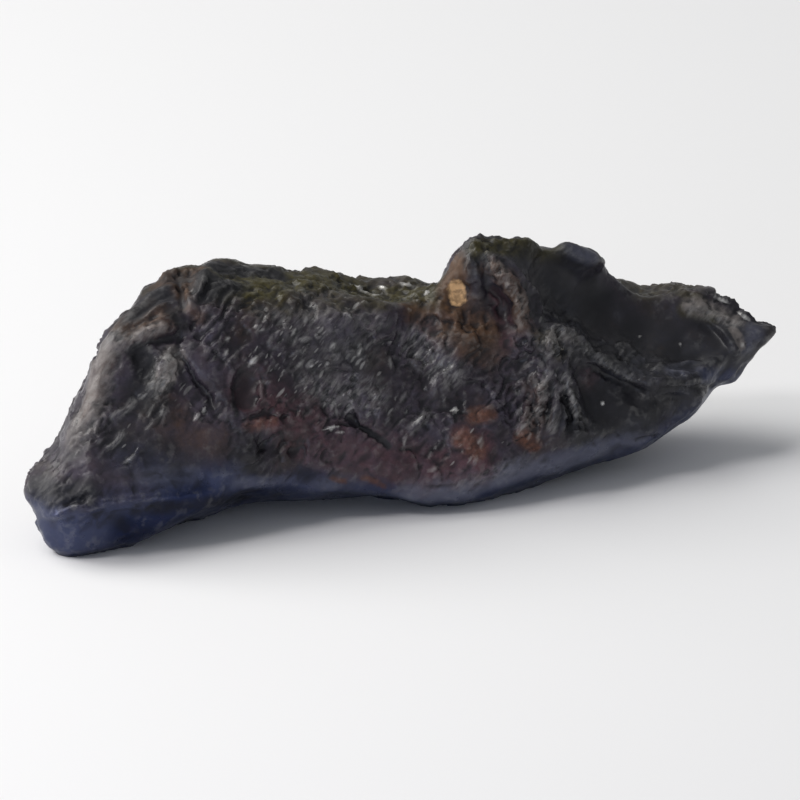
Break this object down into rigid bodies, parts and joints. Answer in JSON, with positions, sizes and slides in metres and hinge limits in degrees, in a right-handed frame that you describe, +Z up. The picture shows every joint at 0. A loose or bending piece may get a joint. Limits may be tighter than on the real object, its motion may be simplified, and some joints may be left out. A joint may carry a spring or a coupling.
{
  "type": "iron meteorite",
  "caption": "Elongated craggy lump of weathered iron with a blunt foot, a high crest and an overhanging nose, resting on a worn flat underside.",
  "frame": {"origin": "centre of the bounding box in plan, on the plane that the lump rests on", "axes": "+X along the lump from its blunt foot to its nose, +Z up as it rests, and -Y towards the craggy front"},
  "size_m": [0.1298, 0.039, 0.0408],
  "materials": {
    "weathered_iron": "dark purple-grey fusion crust, semi-gloss on the raised grain, with rust in the low middle, an ochre spot under the crest and a blue-grey underside"
  },
  "bodies": {
    "root": {"meteorite": "weathered_iron"}
  },
  "joints": []
}
